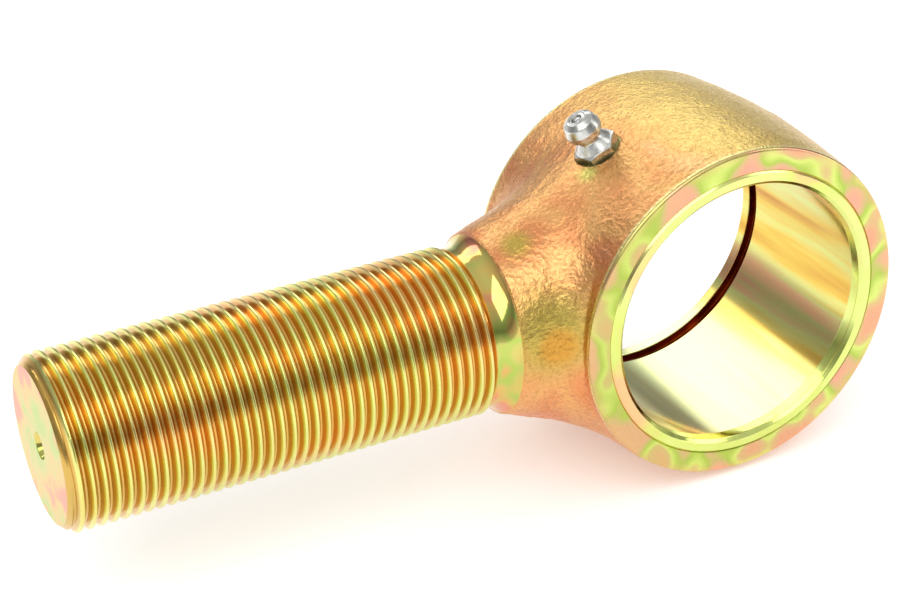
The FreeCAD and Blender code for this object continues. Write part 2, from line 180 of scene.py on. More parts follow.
blank_low, blank_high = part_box("forged_rod_end")
mounts = {mount["name"]: mount for mount in frame["record"]["mounts"]}
EYE_HALF = blank_high.y
EYE_RADIUS = blank_high.z
EYE_DRAFT, EYE_CORNER = 1.2 * MM, 0.7 * MM
RIM_RADIUS = EYE_RADIUS - EYE_DRAFT
RIM_Y = EYE_HALF - EYE_CORNER
CROWN_RADIUS = (RIM_Y ** 2 + EYE_DRAFT ** 2) / (2 * EYE_DRAFT)
NECK_LENGTH, NECK_RADIUS = 8.6 * MM, 16.2 * MM
NECK_REACH = EYE_RADIUS + NECK_LENGTH
ROOT_REACH, ROOT_WIDTH, ROOT_HEIGHT = 17.0 * MM, 18.4 * MM, 26.2 * MM
BLEND = 4.7 * MM
SKIN_MESH = 0.42 * MM
SKIN_STEPS = 8
WELD = 0.0004 * MM


def smoothstep(low, high, value):
    t = np.clip((value - low) / (high - low), 0, 1)
    return t * t * (3 - 2 * t)


def forged_distance(p):
    """Signed distance, nearly, from the as-forged outside of eye and neck, for an (n, 3) array."""
    x, y, z = p.T
    crown = EYE_RADIUS - (CROWN_RADIUS - np.sqrt(CROWN_RADIUS ** 2 - y ** 2))
    eye = np.hypot(x, z) - crown
    along = np.clip((x + NECK_REACH) / (NECK_REACH - ROOT_REACH), -0.2, 1.4)
    width = NECK_RADIUS + (ROOT_WIDTH - NECK_RADIUS) * along
    height = NECK_RADIUS + (ROOT_HEIGHT - NECK_RADIUS) * along
    oval = np.sqrt((y / width) ** 2 + (z / height) ** 2)
    slope = np.sqrt((y / width ** 2) ** 2 + (z / height ** 2) ** 2) / np.maximum(oval, 1e-6)
    neck = (oval - 1) / np.maximum(slope, 1e-6)
    neck = np.where(x > -ROOT_REACH * 0.8, 0.05, neck)
    reach = BLEND * smoothstep(0, 3.0 * MM, RIM_Y - np.abs(y)) + 1e-6
    near = np.maximum(reach - np.abs(eye - neck), 0) / reach
    return np.minimum(eye, neck) - near ** 2 * reach / 4


def gradient(field, p, step=0.02 * MM):
    shifts = np.eye(3) * step
    return np.stack([(field(p + s) - field(p - s)) / (2 * step) for s in shifts], 1)


def closed_tube(mesh, rings):
    """A closed skin through rings of points, capped at both ends."""
    made = [[mesh.verts.new(point) for point in ring] for ring in rings]
    for one, two in zip(made, made[1:]):
        for column in range(len(one)):
            after = (column + 1) % len(one)
            mesh.faces.new((one[column], one[after], two[after], two[column]))
    mesh.faces.new(made[0][::-1])
    mesh.faces.new(made[-1])


def crude_blank(spare):
    """Eye and neck as a plain cylinder and an oval cone that run into each other."""
    crude = bmesh.new()
    turns = [math.tau * step / 96 for step in range(96)]
    closed_tube(crude, [[(RIM_RADIUS * math.cos(a), y, RIM_RADIUS * math.sin(a)) for a in turns]
                        for y in (-RIM_Y - spare, RIM_Y + spare)])
    closed_tube(crude, [[(x, width * math.cos(a), height * math.sin(a)) for a in turns]
                        for x, width, height in ((-NECK_REACH - spare, NECK_RADIUS, NECK_RADIUS),
                                                 (-ROOT_REACH, ROOT_WIDTH, ROOT_HEIGHT))])
    return crude


def remeshed(mesh, size):
    """The voxel remesh of a bmesh, as a new bmesh."""
    data = bpy.data.meshes.new("remesh")
    mesh.to_mesh(data)
    mesh.free()
    holder = link(bpy.data.objects.new("remesh", data))
    voxels = holder.modifiers.new("voxels", "REMESH")
    voxels.mode, voxels.voxel_size = "VOXEL", size
    bpy.context.view_layer.update()
    result = bpy.data.meshes.new_from_object(
        holder.evaluated_get(bpy.context.evaluated_depsgraph_get()))
    bpy.data.objects.remove(holder)
    out = bmesh.new()
    out.from_mesh(result)
    return out


def positions(mesh):
    return np.array([v.co for v in mesh.verts])


def place(mesh, where):
    for vertex, spot in zip(mesh.verts, where):
        vertex.co = spot


def forged_skin():
    """The as-forged surface, trimmed at the turned edges, with scale marks and orange peel."""
    skin = remeshed(crude_blank(1.5 * MM), SKIN_MESH)
    p = positions(skin)
    for _ in range(SKIN_STEPS):
        g = gradient(forged_distance, p)
        move = (forged_distance(p) / np.maximum((g ** 2).sum(1), 0.2))[:, None] * g
        p = p - np.clip(move, -MM, MM)
    place(skin, p)
    for point, normal in (((0, RIM_Y, 0), (0, 1, 0)), ((0, -RIM_Y, 0), (0, -1, 0)),
                          ((-NECK_REACH, 0, 0), (-1, 0, 0))):
        bmesh.ops.bisect_plane(skin, geom=skin.verts[:] + skin.edges[:] + skin.faces[:],
                               plane_co=point, plane_no=normal, clear_outer=True)
    bmesh.ops.remove_doubles(skin, verts=skin.verts, dist=0.06 * MM)
    p = positions(skin)
    normals = gradient(forged_distance, p)
    normals /= np.linalg.norm(normals, axis=1)[:, None]
    place(skin, p + normals * forging_marks(p)[:, None])
    return skin


def forging_marks(p):
    """How far the scale, peel, flash line and a hammer mark lift or sink the skin."""
    spots = [Vector(q) / MM for q in p]
    swell = np.array([noise.fractal(q / 9.0, 1.0, 2.0, 2) for q in spots])
    peel = np.array([noise.fractal(q / 1.3, 0.8, 2.0, 2) for q in spots])
    wrinkle = np.array([1 - abs(noise.noise(q / 2.2 + Vector((7, 3, 1)))) * 3.2 for q in spots])
    patch = np.array([noise.noise(q / 11.0 + Vector((2, 9, 4))) for q in spots])
    x, y, z = p.T / MM
    rough = 0.4 + 0.6 * (1 - smoothstep(-10, 14, x))
    wrinkled = smoothstep(0.0, 0.35, patch) * np.clip(wrinkle, 0, 1) ** 2
    lift = 0.12 * swell + rough * (0.085 * peel + 0.10 * wrinkled)
    lift += 0.14 * np.exp(-(y / 0.9) ** 2) * smoothstep(-0.2, 0.5, swell) * (x > -36)
    dent = np.hypot(x + 34.7, z - 1.5) / 4.5
    lift -= 0.30 * np.exp(-dent ** 2) * (y < 0)
    edge = smoothstep(0, 1.6, RIM_Y / MM - np.abs(y)) * smoothstep(0, 1.4, x + NECK_REACH / MM)
    return lift * edge * MM


def rounded(corners, steps=5, hold=0.12 * MM):
    """A profile through (along, radius, rounding) corners: round corners become arcs, and long
    straights get a point near each end, which keeps their shading flat."""
    points = [Vector(c[:2]) for c in corners]
    path = []
    for number, (along, radius, rounding) in enumerate(corners):
        here = points[number]
        if rounding and 0 < number < len(points) - 1:
            back = (points[number - 1] - here).normalized()
            ahead = (points[number + 1] - here).normalized()
            half = back.angle(ahead) / 2
            reach = rounding / math.tan(half)
            centre = here + (back + ahead).normalized() * rounding / math.sin(half)
            first, last = here + back * reach - centre, here + ahead * reach - centre
            for step in range(steps + 1):
                path.append(centre + first.slerp(last, step / steps).normalized() * rounding)
        else:
            path.append(here)
    full = [path[0]]
    for a, b in zip(path, path[1:]):
        run = (b - a).length
        if run > 4 * hold:
            full += [a + (b - a) * hold / run, b - (b - a) * hold / run]
        full.append(b)
    return full


def lathe(mesh, profile, axis, columns, slot_of):
    """Turns a list of (along, radius) points about X or Y into quads; slot_of(along, radius)
    gives each band's material slot. Returns the rings of vertices."""
    rings = []
    for along, radius in profile:
        ring = []
        for column in range(columns):
            a = math.tau * column / columns
            across = (radius * math.cos(a), radius * math.sin(a))
            spot = (along, *across) if axis == "X" else (across[0], along, across[1])
            ring.append(mesh.verts.new(spot))
        rings.append(ring)
    for number, (one, two) in enumerate(zip(rings, rings[1:])):
        middle = (Vector(profile[number]) + Vector(profile[number + 1])) / 2
        for column in range(columns):
            after = (column + 1) % columns
            face = mesh.faces.new((one[column], one[after], two[after], two[column]))
            face.material_index = slot_of(*middle)
    return rings


# Slot 0 is the as-forged skin.
FACE_SLOT, BORE_SLOT, GROOVE_SLOT, THREAD_SLOT, TURNED_SLOT, SPOT_SLOT = range(1, 7)

ring_low, ring_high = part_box("bore_stop_ring")
RING_RADIUS, RING_BACK, RING_FRONT = ring_high.x, ring_high.y, ring_low.y
BORE_RADIUS = mounts["eye_bore"]["dims"]["r_mm"] * MM
GROOVE_DEPTH, GROOVE_WIDTH = 1.5 * MM, 2.4 * MM
GROOVE_RADIUS = BORE_RADIUS + GROOVE_DEPTH
BORE_LEAD = 1.0 * MM
GROOVE_MIDDLE = mounts["circlip_groove"]["pos_m"][1]
EYE_COLUMNS = 320


def turned_eye(mesh):
    """End faces, ring seat, bore, circlip groove and lead-in, from rim to rim."""
    fine = 0.15 * MM
    start, end = GROOVE_MIDDLE - GROOVE_WIDTH / 2, GROOVE_MIDDLE + GROOVE_WIDTH / 2
    tuck = 0.2 * MM
    rim_corner = EYE_CORNER * 0.8
    corners = [(-RIM_Y - tuck, RIM_RADIUS - tuck / 10, 0), (-EYE_HALF, RIM_RADIUS, rim_corner),
               (-EYE_HALF, RING_RADIUS, fine), (RING_BACK, RING_RADIUS, 0), (RING_BACK, BORE_RADIUS, fine),
               (start, BORE_RADIUS, fine), (start, GROOVE_RADIUS, fine), (end, GROOVE_RADIUS, fine),
               (end, BORE_RADIUS, fine), (EYE_HALF - BORE_LEAD, BORE_RADIUS, fine),
               (EYE_HALF, BORE_RADIUS + BORE_LEAD, fine), (EYE_HALF, RIM_RADIUS, rim_corner),
               (RIM_Y + tuck, RIM_RADIUS - tuck / 10, 0)]

    def slot_of(y, r):
        if abs(y) > EYE_HALF - fine or r > RING_RADIUS + BORE_LEAD:
            return FACE_SLOT
        return GROOVE_SLOT if start - fine < y < end + fine and r > BORE_RADIUS + fine else BORE_SLOT

    lathe(mesh, [tuple(q) for q in rounded(corners)], "Y", EYE_COLUMNS, slot_of)


SHANK_END = blank_low.x
THREAD_RADIUS, THREAD_PITCH = 15.0 * MM, 2.0 * MM
RELIEF_LENGTH, RELIEF_DEPTH, FILLET_RUN = 0.9 * MM, 0.7 * MM, 3.4 * MM
RELIEF_END = -NECK_REACH - FILLET_RUN
RELIEF_START = RELIEF_END - RELIEF_LENGTH
RELIEF_RADIUS = THREAD_RADIUS - RELIEF_DEPTH
END_BEVEL = 1.75 * MM
SHANK_COLUMNS = 216
# One pitch of the thread: (place along it, height under the crest), both in pitches. The crest's
# corners are rounded by the plating.
THREAD_FORM = [(0.0, 0.61), (0.08, 0.60), (0.23, 0.33), (0.38, 0.055), (0.405, 0.018), (0.44, 0.0),
               (0.56, 0.0), (0.595, 0.018), (0.62, 0.055), (0.77, 0.33), (0.92, 0.60), (1.0, 0.61)]


def threaded_shank(mesh):
    """The helical thread between the end bevel and the relief."""
    form = np.array(THREAD_FORM[:-1]) * THREAD_PITCH
    per_pitch = len(form)
    turns = math.ceil((RELIEF_START - SHANK_END) / THREAD_PITCH) + 2
    first = SHANK_END - THREAD_PITCH
    row_x = (np.arange(turns)[:, None] * THREAD_PITCH + form[:, 0]).ravel() + first
    columns = []
    for column in range(SHANK_COLUMNS):
        a = math.tau * column / SHANK_COLUMNS
        lead = THREAD_PITCH * column / SHANK_COLUMNS
        x = np.clip(row_x + lead, SHANK_END, RELIEF_START)
        phase = ((x - lead - first) / THREAD_PITCH) % 1.0
        radius = THREAD_RADIUS - THREAD_PITCH * np.interp(phase, *np.array(THREAD_FORM).T)
        radius += (RELIEF_RADIUS - radius) * smoothstep(-0.5 * MM, 0, x - RELIEF_START)
        radius = np.minimum(radius, THREAD_RADIUS - END_BEVEL + (x - SHANK_END))
        columns.append([mesh.verts.new((q, r * math.cos(a), r * math.sin(a)))
                        for q, r in zip(x, radius)])
    for column, rows in enumerate(columns):
        shift = per_pitch if column == SHANK_COLUMNS - 1 else 0
        after = columns[(column + 1) % SHANK_COLUMNS]
        for row in range(len(rows) - 1 - shift):
            face = mesh.faces.new((rows[row], rows[row + 1], after[row + 1 + shift], after[row + shift]))
            face.material_index = THREAD_SLOT


def turned_shank(mesh):
    """Relief and fillet behind the thread, and the end face with its centre drilling."""
    climb = NECK_RADIUS - RELIEF_RADIUS
    run = RELIEF_END + NECK_REACH
    sweep = (run ** 2 + climb ** 2) / (2 * climb)
    profile = [(RELIEF_START, RELIEF_RADIUS), (RELIEF_START + 0.3 * MM, RELIEF_RADIUS)]
    for step in range(13):
        x = RELIEF_END - (run + 0.25 * MM) * step / 12
        profile.append((x, RELIEF_RADIUS + sweep - math.sqrt(sweep ** 2 - (x - RELIEF_END) ** 2)))
    lathe(mesh, profile, "X", SHANK_COLUMNS, lambda x, r: TURNED_SLOT)
    mouth, pilot, depth = 2.4 * MM, 1.0 * MM, 5.5 * MM
    end = rounded([(SHANK_END, THREAD_RADIUS - END_BEVEL, 0), (SHANK_END, mouth, 0.15 * MM),
                   (SHANK_END + (mouth - pilot) * math.sqrt(3), pilot, 0), (SHANK_END + depth, pilot, 0),
                   (SHANK_END + depth + 0.6 * MM, 0.02 * MM, 0)])
    inner = lathe(mesh, [tuple(q) for q in end], "X", SHANK_COLUMNS, lambda x, r: TURNED_SLOT)
    mesh.faces.new(inner[-1])


def boundary_edges(mesh, near):
    """The open edges whose middle satisfies near(point)."""
    return [e for e in mesh.edges if len(e.link_faces) == 1
            and near((e.verts[0].co + e.verts[1].co) / 2)]


def join_open_rings(mesh, near):
    bmesh.ops.bridge_loops(mesh, edges=boundary_edges(mesh, near))


def finish_mesh(mesh, name, materials, sharp=35.0):
    """Smooth shading with sharp edges kept, as a linked object."""
    bmesh.ops.recalc_face_normals(mesh, faces=mesh.faces)
    for face in mesh.faces:
        face.smooth = True
    for edge in mesh.edges:
        edge.smooth = len(edge.link_faces) == 2 and edge.calc_face_angle(0) < math.radians(sharp)
    data = bpy.data.meshes.new(name)
    mesh.to_mesh(data)
    mesh.free()
    for material in materials:
        data.materials.append(material)
    return link(bpy.data.objects.new(name, data))


NIPPLE_AXIS = Vector(mounts["grease_coupler"]["axis"]).normalized()
SEAT_SINK = 0.5 * MM
SEAT_REACH = EYE_RADIUS - SEAT_SINK
SPOT_RADIUS, STEM_RADIUS, STEM_HOLE = 4.29 * MM, 3.0 * MM, 4.3 * MM
PASSAGE_RADIUS = 1.0 * MM
NIPPLE_TURN = Matrix((Vector((0, 1, 0)).cross(NIPPLE_AXIS), Vector((0, 1, 0)), NIPPLE_AXIS)).transposed()


def onto_nipple(mesh, reach):
    """Stands a mesh made along +X at the bore centre on the nipple's axis."""
    turn = NIPPLE_TURN @ Matrix.Rotation(-math.pi / 2, 3, "Y")
    bmesh.ops.transform(mesh, verts=mesh.verts,
                        matrix=Matrix.Translation(NIPPLE_AXIS * reach) @ turn.to_4x4())


def spot_cutter(materials):
    """What the drill and the spot facer take out of the eye's wall for the grease nipple."""
    drill = bmesh.new()
    profile = [(-STEM_HOLE - 3 * MM, PASSAGE_RADIUS), (-STEM_HOLE, PASSAGE_RADIUS),
               (-STEM_HOLE, STEM_RADIUS), (0, STEM_RADIUS), (0, SPOT_RADIUS), (9 * MM, SPOT_RADIUS)]
    rings = lathe(drill, profile, "X", 96, lambda x, r: SPOT_SLOT)
    for ring in (rings[0], rings[-1]):
        drill.faces.new(ring).material_index = SPOT_SLOT
    onto_nipple(drill, SEAT_REACH)
    return finish_mesh(drill, "spot_cutter", materials)


def cut(piece, cutter):
    """Takes the cutter out of the piece's mesh, and removes the cutter."""
    difference = piece.modifiers.new("cut", "BOOLEAN")
    difference.operation, difference.solver, difference.object = "DIFFERENCE", "EXACT", cutter
    bpy.context.view_layer.update()
    data = bpy.data.meshes.new_from_object(
        piece.evaluated_get(bpy.context.evaluated_depsgraph_get()))
    piece.modifiers.clear()
    piece.data = data
    bpy.data.objects.remove(cutter)


def ramp_of(tree, factor, stops):
    """A colour ramp through (position, colour) stops."""
    made = add_node(tree, "ShaderNodeValToRGB", {"Fac": factor})
    elements = made.color_ramp.elements
    while len(elements) > 1:
        elements.remove(elements[-1])
    elements[0].position, elements[0].color = stops[0]
    for position, colour in stops[1:]:
        elements.new(position).color = colour
    return made.outputs["Color"]


def value_math(tree, operation, *values):
    made = tree.nodes.new("ShaderNodeMath")
    made.operation = operation
    for socket, value in zip(made.inputs, values):
        if isinstance(value, bpy.types.NodeSocket):
            tree.links.new(value, socket)
        else:
            socket.default_value = value
    return made.outputs["Value"]


def remap(tree, value, low, high, to_low=0.0, to_high=1.0):
    made = add_node(tree, "ShaderNodeMapRange", {"Value": value, "From Min": low, "From Max": high,
                                                 "To Min": to_low, "To Max": to_high})
    made.interpolation_type = "SMOOTHSTEP"
    return made.outputs["Result"]


def mixed(tree, factor, one, two, blend="MIX"):
    made = tree.nodes.new("ShaderNodeMix")
    made.data_type, made.blend_type = "RGBA", blend
    for name, value in (("Factor", factor), ("A", one), ("B", two)):
        socket = next(s for s in made.inputs if s.name == name and s.type in
                      (("VALUE",) if name == "Factor" else ("RGBA",)))
        if isinstance(value, bpy.types.NodeSocket):
            tree.links.new(value, socket)
        else:
            socket.default_value = value
    return next(s for s in made.outputs if s.type == "RGBA")


def grain(tree, scale, detail=3.0, stretch=(1, 1, 1), shift=(0, 0, 0)):
    """Noise in the part's own space, with a scale in features per metre."""
    where = add_node(tree, "ShaderNodeTexCoord").outputs["Object"]
    laid = add_node(tree, "ShaderNodeMapping", {"Vector": where, "Scale": stretch, "Location": shift})
    return add_node(tree, "ShaderNodeTexNoise", {"Vector": laid.outputs["Vector"], "Scale": scale,
                                                 "Detail": detail}).outputs["Fac"]


def axes(tree):
    where = add_node(tree, "ShaderNodeTexCoord").outputs["Object"]
    split = add_node(tree, "ShaderNodeSeparateXYZ", {"Vector": where})
    return split.outputs["X"], split.outputs["Y"], split.outputs["Z"]


def radius_about(tree, axis):
    """Distance from the X or Y axis, in metres."""
    x, y, z = axes(tree)
    other = y if axis == "X" else x
    return value_math(tree, "SQRT", value_math(
        tree, "ADD", value_math(tree, "MULTIPLY", other, other), value_math(tree, "MULTIPLY", z, z)))


def turning_marks(tree, shader, axis, scale, distance, strength):
    """Fine rings about an axis, cut by the lathe tool; scale is in marks per metre."""
    place_along = value_math(tree, "MULTIPLY", radius_about(tree, axis), scale)
    marks = add_node(tree, "ShaderNodeTexNoise", {"W": place_along, "Scale": 1.0, "Detail": 2.0},
                     noise_dimensions="1D")
    bump(tree, shader, marks.outputs["Fac"], distance, strength)


def bump(tree, shader, height, distance, strength=1.0, under=None):
    made = add_node(tree, "ShaderNodeBump", {"Height": height, "Distance": distance, "Strength": strength})
    if under is not None:
        tree.links.new(under, made.inputs["Normal"])
    tree.links.new(made.outputs["Normal"], shader.inputs["Normal"])
    return made.outputs["Normal"]


GOLD, YELLOW = tint(232, 176, 112), tint(240, 212, 122)
ORANGE, PINK = tint(226, 150, 98), tint(240, 174, 142)
OLIVE, LEAF = tint(178, 172, 72), tint(212, 226, 120)


def spot_of(tree, centre, inner, outer):
    """1 within inner metres of a point, fading to 0 at outer."""
    where = add_node(tree, "ShaderNodeTexCoord").outputs["Object"]
    gap = add_node(tree, "ShaderNodeVectorMath", operation="DISTANCE")
    tree.links.new(where, gap.inputs[0])
    gap.inputs[1].default_value = centre
    return remap(tree, gap.outputs["Value"], outer, inner)


def forged_material():
    """As-forged skin under yellow chromate: pinkish gold and green by the thread, with painted highlights:
    yellow over the top and pale yellow along the rims.
    """
    material, tree, shader = new_material("chromated_forging", Metallic=1.0)
    blotch = grain(tree, 62.0, 2.0)
    base = ramp_of(tree, blotch, [(0.30, ORANGE), (0.50, GOLD), (0.62, ORANGE), (0.74, PINK)])
    x, y, z = axes(tree)
    # Painted highlight: the top of the eye is lightened towards yellow.
    top = remap(tree, value_math(tree, "ADD", z, value_math(tree, "MULTIPLY", x, 0.8)), 0.010, 0.034)
    base = mixed(tree, value_math(tree, "MULTIPLY", top, 0.85), base, YELLOW)
    right = remap(tree, x, 0.012, 0.028)
    base = mixed(tree, value_math(tree, "MULTIPLY", right, 0.6), base, PINK)
    for centre, inner, outer, share, colour in (((-0.0355, -0.016, 0.004), 0.003, 0.011, 0.7, OLIVE),
                                                ((-0.0347, -0.0175, 0.0015), 0.002, 0.0048, 0.75,
                                                 tint(216, 150, 62)),
                                                ((-0.0361, -0.0055, 0.016), 0.001, 0.0042, 0.7, OLIVE),
                                                ((-0.0205, -0.0035, 0.0243), 0.0008, 0.003, 0.7, LEAF)):
        base = mixed(tree, value_math(tree, "MULTIPLY", spot_of(tree, centre, inner, outer), share),
                     base, colour)
    # Painted highlight: a pale yellow band along each rim of the forged skin.
    rim = remap(tree, value_math(tree, "ABSOLUTE", y), RIM_Y - 0.5 * MM, RIM_Y)
    base = mixed(tree, value_math(tree, "MULTIPLY", rim, 0.8), base, tint(250, 244, 168))
    pits = grain(tree, 1500.0, 3.0)
    fine = grain(tree, 3800.0, 2.0)
    dark = remap(tree, pits, 0.32, 0.50, 0.84, 1.0)
    shade = add_node(tree, "ShaderNodeCombineColor", {"Red": dark, "Green": dark, "Blue": dark})
    base = mixed(tree, 1.0, base, shade.outputs["Color"], "MULTIPLY")
    tree.links.new(base, shader.inputs["Base Color"])
    tree.links.new(remap(tree, pits, 0.35, 0.65, 0.40, 0.26), shader.inputs["Roughness"])
    first = bump(tree, shader, pits, 0.20 * MM, 1.0)
    bump(tree, shader, fine, 0.04 * MM, 0.6, first)
    return material


def face_material():
    """Turned end face: leaf green towards the bore, pink towards the rim, olive painted shade on the neck
    side, fine turning marks.
    """
    material, tree, shader = new_material("chromated_face", Metallic=1.0)
    radius = radius_about(tree, "Y")
    patches = grain(tree, 95.0, 1.0, shift=(0.05, 0, 0.02))
    base = ramp_of(tree, patches, [(0.36, tint(228, 168, 132)), (0.43, tint(214, 186, 128)), (0.47, LEAF),
                                   (0.53, tint(176, 198, 88)), (0.57, tint(212, 180, 130)),
                                   (0.62, tint(232, 168, 140))])
    outwards = remap(tree, value_math(tree, "ADD", radius, value_math(tree, "MULTIPLY", patches, 0.004)),
                     0.0305, 0.0335)
    base = mixed(tree, value_math(tree, "MULTIPLY", outwards, 0.6), base, PINK)
    # Painted shade: the face is darkened towards olive on the neck side.
    painted_shade_by_neck = remap(tree, axes(tree)[0], -0.004, -0.024)
    base = mixed(tree, value_math(tree, "MULTIPLY", painted_shade_by_neck, 0.3), base, tint(168, 182, 78))
    tree.links.new(base, shader.inputs["Base Color"])
    tree.links.new(remap(tree, grain(tree, 300.0), 0.3, 0.7, 0.22, 0.34), shader.inputs["Roughness"])
    turning_marks(tree, shader, "Y", 9000.0, 0.006 * MM, 0.6)
    return material


def bore_material():
    """Honed bore: bright gold with streaks along the bore that turn green and pink, and a painted reflection
    that makes the lower wall pale.
    """
    material, tree, shader = new_material("chromated_bore", Metallic=1.0)
    streaks = grain(tree, 150.0, 3.0, stretch=(1, 0.08, 1))
    drift = grain(tree, 30.0, 1.0, stretch=(1, 0.25, 1), shift=(5, 0, 2))
    base = ramp_of(tree, streaks, [(0.34, tint(206, 146, 70)), (0.45, tint(230, 196, 92)),
                                   (0.55, tint(224, 226, 140)), (0.66, tint(240, 190, 140))])
    base = mixed(tree, remap(tree, drift, 0.46, 0.60, 0.0, 0.75), base, tint(222, 150, 100))
    # Painted reflection: the lower part of the bore wall is made pale mint.
    pale = remap(tree, value_math(tree, "ADD", axes(tree)[2], value_math(tree, "MULTIPLY", drift, 0.01)),
                 -0.012, -0.022)
    base = mixed(tree, value_math(tree, "MULTIPLY", pale, 0.7), base, tint(222, 232, 178))
    tree.links.new(base, shader.inputs["Base Color"])
    tree.links.new(remap(tree, streaks, 0.3, 0.7, 0.10, 0.20), shader.inputs["Roughness"])
    bump(tree, shader, grain(tree, 700.0, 2.0, stretch=(1, 0.08, 1)), 0.012 * MM, 0.35)
    return material


def groove_shade_material():
    """The circlip groove, painted dark brown as shade inside the recess."""
    material, tree, shader = new_material("chromated_groove_painted_shade", Metallic=1.0)
    # Painted shade: the dark brown stands in for the shade inside the groove.
    base = ramp_of(tree, grain(tree, 200.0), [(0.35, tint(120, 52, 14)), (0.65, tint(176, 96, 36))])
    tree.links.new(base, shader.inputs["Base Color"])
    tree.links.new(remap(tree, grain(tree, 500.0), 0.3, 0.7, 0.25, 0.4), shader.inputs["Roughness"])
    return material


def thread_material():
    """Cut thread: pale leaf-gold crests, and flanks and roots a darker brown as painted shade."""
    material, tree, shader = new_material("chromated_thread", Metallic=1.0)
    radius = radius_about(tree, "X")
    drift = grain(tree, 45.0, 2.0)
    crest = ramp_of(tree, drift, [(0.35, tint(226, 214, 122)), (0.5, tint(224, 226, 138)),
                                  (0.65, tint(238, 206, 136))])
    # Painted shade: the flanks and roots get a darker brown than the crests.
    painted_shade_flank = ramp_of(tree, drift, [(0.35, tint(206, 172, 96)), (0.5, tint(214, 172, 88)),
                                  (0.65, tint(220, 160, 84))])
    height = remap(tree, radius, THREAD_RADIUS - 0.70 * MM, THREAD_RADIUS - 0.25 * MM)
    tree.links.new(mixed(tree, height, painted_shade_flank, crest), shader.inputs["Base Color"])
    tree.links.new(remap(tree, grain(tree, 400.0), 0.3, 0.7, 0.16, 0.26), shader.inputs["Roughness"])
    bump(tree, shader, grain(tree, 1500.0, 2.0, stretch=(3, 1, 1)), 0.008 * MM, 0.4)
    return material


def turned_material():
    """Turned, bright: the relief behind the thread and the end of the shank."""
    material, tree, shader = new_material("chromated_turning", Metallic=1.0)
    drift = grain(tree, 110.0, 2.0)
    base = ramp_of(tree, drift, [(0.36, tint(232, 150, 120)), (0.44, tint(224, 186, 104)),
                                 (0.54, tint(206, 196, 110)), (0.62, tint(178, 200, 96)),
                                 (0.70, tint(226, 176, 110))])
    tree.links.new(base, shader.inputs["Base Color"])
    on_end = remap(tree, axes(tree)[0], SHANK_END + 0.3 * MM, SHANK_END)
    tree.links.new(value_math(tree, "ADD", 0.09, value_math(tree, "MULTIPLY", on_end, 0.20)),
                   shader.inputs["Roughness"])
    turning_marks(tree, shader, "X", 6000.0, 0.008 * MM, 0.5)
    return material


def spot_material():
    """The spot face under the nipple: dull tan chromate, rougher than the turned faces."""
    material, tree, shader = new_material("chromated_spot_face", Metallic=1.0)
    base = ramp_of(tree, grain(tree, 350.0), [(0.3, tint(176, 150, 92)), (0.7, tint(204, 196, 132))])
    tree.links.new(base, shader.inputs["Base Color"])
    tree.links.new(remap(tree, grain(tree, 700.0), 0.3, 0.7, 0.4, 0.55), shader.inputs["Roughness"])
    return material


plated = [forged_material(), face_material(), bore_material(), groove_shade_material(), thread_material(),
          turned_material(), spot_material()]
blank = forged_skin()
turned_eye(blank)
join_open_rings(blank, lambda q: q.y > RIM_Y - 0.1 * MM and q.x ** 2 + q.z ** 2 > RING_RADIUS ** 2)
join_open_rings(blank, lambda q: q.y < -RIM_Y + 0.1 * MM and q.x ** 2 + q.z ** 2 > RING_RADIUS ** 2)
threaded_shank(blank)
turned_shank(blank)
join_open_rings(blank, lambda q: -NECK_REACH - MM < q.x < -NECK_REACH + 0.1 * MM)
bmesh.ops.remove_doubles(blank, verts=blank.verts, dist=WELD)
forging = finish_mesh(blank, "forging", plated)
cut(forging, spot_cutter(plated))
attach(forging, "rod_end")
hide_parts("forged_rod_end")


# --- Stop ring ----------------------------------------------------------------------------
# A turned steel ring pressed into a seat at the near end of the bore. It stands a little proud
# of the end face and is paler than the forging.

def ring_material():
    material, tree, shader = new_material("chromated_ring", Metallic=1.0)
    base = ramp_of(tree, grain(tree, 70.0, 2.0), [(0.34, tint(238, 194, 140)), (0.44, tint(216, 228, 122)),
                                                  (0.58, tint(222, 232, 140)), (0.70, tint(234, 206, 138))])
    tree.links.new(base, shader.inputs["Base Color"])
    tree.links.new(remap(tree, grain(tree, 500.0), 0.3, 0.7, 0.10, 0.2), shader.inputs["Roughness"])
    turning_marks(tree, shader, "Y", 8000.0, 0.004 * MM, 0.4)
    return material


RING_LIP = 1.8 * MM
RING_OPENING = BORE_RADIUS - RING_LIP
RING_INNER_BEVEL, RING_OUTER_BEVEL = 0.65 * MM, 0.45 * MM
soft = 0.08 * MM
ring_corners = [(RING_BACK, (RING_OPENING + RING_RADIUS) / 2, 0), (RING_BACK, RING_RADIUS, soft),
                (RING_FRONT + RING_OUTER_BEVEL, RING_RADIUS, soft),
                (RING_FRONT, RING_RADIUS - RING_OUTER_BEVEL, soft),
                (RING_FRONT, RING_OPENING + RING_INNER_BEVEL, soft),
                (RING_FRONT + RING_INNER_BEVEL, RING_OPENING, soft),
                (RING_BACK, RING_OPENING, soft), (RING_BACK, (RING_OPENING + RING_RADIUS) / 2, 0)]
ring_mesh = bmesh.new()
lathe(ring_mesh, [tuple(q) for q in rounded(ring_corners, steps=3)], "Y", EYE_COLUMNS, lambda y, r: 0)
bmesh.ops.remove_doubles(ring_mesh, verts=ring_mesh.verts, dist=WELD)
ring = finish_mesh(ring_mesh, "stop_ring", [ring_material()])
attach(ring, "rod_end")
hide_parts("bore_stop_ring")


# --- Grease nipple ------------------------------------------------------------------------
# A bright zinc plated steel nipple screwed into the spot face: hexagon, waist and a bullet head
# that the grease gun's coupler grips.

